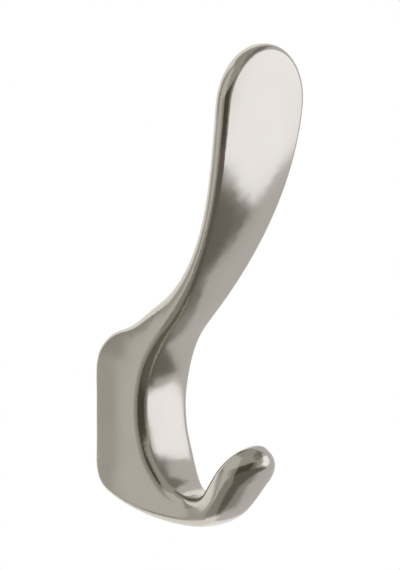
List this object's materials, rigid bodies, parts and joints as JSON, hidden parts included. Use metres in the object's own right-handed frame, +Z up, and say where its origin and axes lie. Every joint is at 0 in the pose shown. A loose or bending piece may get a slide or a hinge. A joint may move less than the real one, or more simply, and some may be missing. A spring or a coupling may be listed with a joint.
{
  "type": "coat hook",
  "caption": "Wall coat hook cast in one piece: an upper arm that leans out and widens into a rounded paddle, and a small lower hook.",
  "frame": {"origin": "on the flat back that lies against the wall, at the middle of the width and midway between the two fixing holes", "axes": "+Y points into the wall, so the hook stands out along -Y; +Z is up along the arm to the paddle; +X runs across the width"},
  "size_m": [0.032, 0.0535, 0.1289],
  "materials": {
    "satin_nickel": "satin nickel plate on a zinc casting, softly polished"
  },
  "bodies": {
    "root": {"coat_hook": "satin_nickel"}
  },
  "joints": []
}
